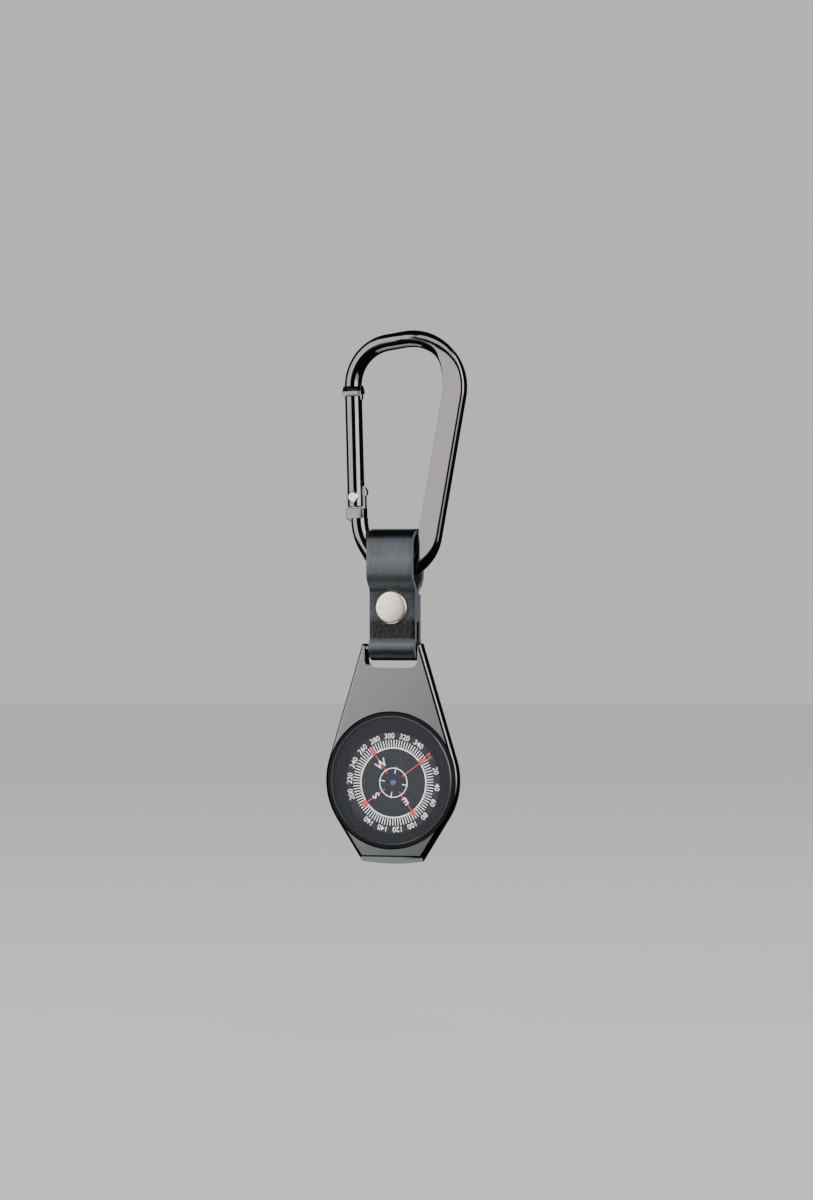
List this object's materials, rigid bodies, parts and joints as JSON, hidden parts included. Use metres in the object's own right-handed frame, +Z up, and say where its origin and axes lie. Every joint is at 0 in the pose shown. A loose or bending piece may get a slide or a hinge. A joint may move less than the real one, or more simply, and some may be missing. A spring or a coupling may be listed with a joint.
{
  "type": "pocket compass",
  "caption": "Round compass in a flat tapered metal body, hung by a riveted leather loop from a small carabiner with a straight solid gate.",
  "frame": {"origin": "inside of the carabiner's top bend, where the part hangs", "axes": "+Z up along the hanging part, -Y towards the reader of the dial, +X to the right, away from the gate"},
  "size_m": [0.0362, 0.0094, 0.1297],
  "materials": {
    "black_nickel": "polished",
    "spring_steel": "satin",
    "bright_rivet": "polished",
    "dark_leather": "matte",
    "warm_silver": "satin",
    "gunmetal": "satin",
    "capsule_black": "gloss",
    "clear_window": "clear",
    "seal_rubber": "matte",
    "pad_foam": "matte",
    "card_black": "matte",
    "hub_brass": "satin",
    "magnet_steel": "satin",
    "jewel_violet": "gloss"
  },
  "bodies": {
    "carabiner": {"carabiner_frame": "black_nickel", "gate_rivet": "bright_rivet"},
    "gate": {"gate": "black_nickel", "gate_spring": "spring_steel"},
    "strap": {"leather_strap": "dark_leather", "rivet_cap": "warm_silver", "rivet_post": "warm_silver"},
    "body": {"compass_body": "gunmetal", "capsule_cup": "capsule_black", "capsule_window": "clear_window", "window_seal": "seal_rubber", "capsule_pad": "pad_foam", "fill_plug": "capsule_black", "pivot_pin": "spring_steel"},
    "card": {"card_disc": "card_black", "card_hub": "hub_brass", "card_magnet": "magnet_steel", "jewel_bearing": "jewel_violet"},
    "plunger": {"gate_plunger": "spring_steel"}
  },
  "joints": [
    {"name": "gate_swing", "type": "hinge", "parent": "carabiner", "child": "gate", "pos_m": [-0.01464, 0, -0.0363], "axis": [0, 1, 0], "range_deg": [0, 26], "stiffness_Nm_per_rad": 0.02, "springref_deg": -11.46},
    {"name": "plunger_slide", "type": "slide", "parent": "gate", "child": "plunger", "axis": [-0.028, 0, 0.9996], "range_m": [0, 0.0006], "deforming": ["gate_spring"]},
    {"name": "strap_swing", "type": "hinge", "parent": "carabiner", "child": "strap", "pos_m": [-0.00447, 0, -0.04825], "axis": [1, 0, 0], "range_deg": [-5, 5]},
    {"name": "body_swing", "type": "hinge", "parent": "strap", "child": "body", "pos_m": [-0.00497, 0, -0.07325], "axis": [1, 0, 0], "range_deg": [-100, 100]},
    {"name": "card_spin", "type": "hinge", "parent": "body", "child": "card", "pos_m": [-0.00497, 0, -0.10585], "axis": [0, 1, 0], "continuous": true}
  ],
  "couplings": [
    {"joint": "plunger_slide", "follows": "gate_swing", "m_per_rad": 0.00125}
  ]
}
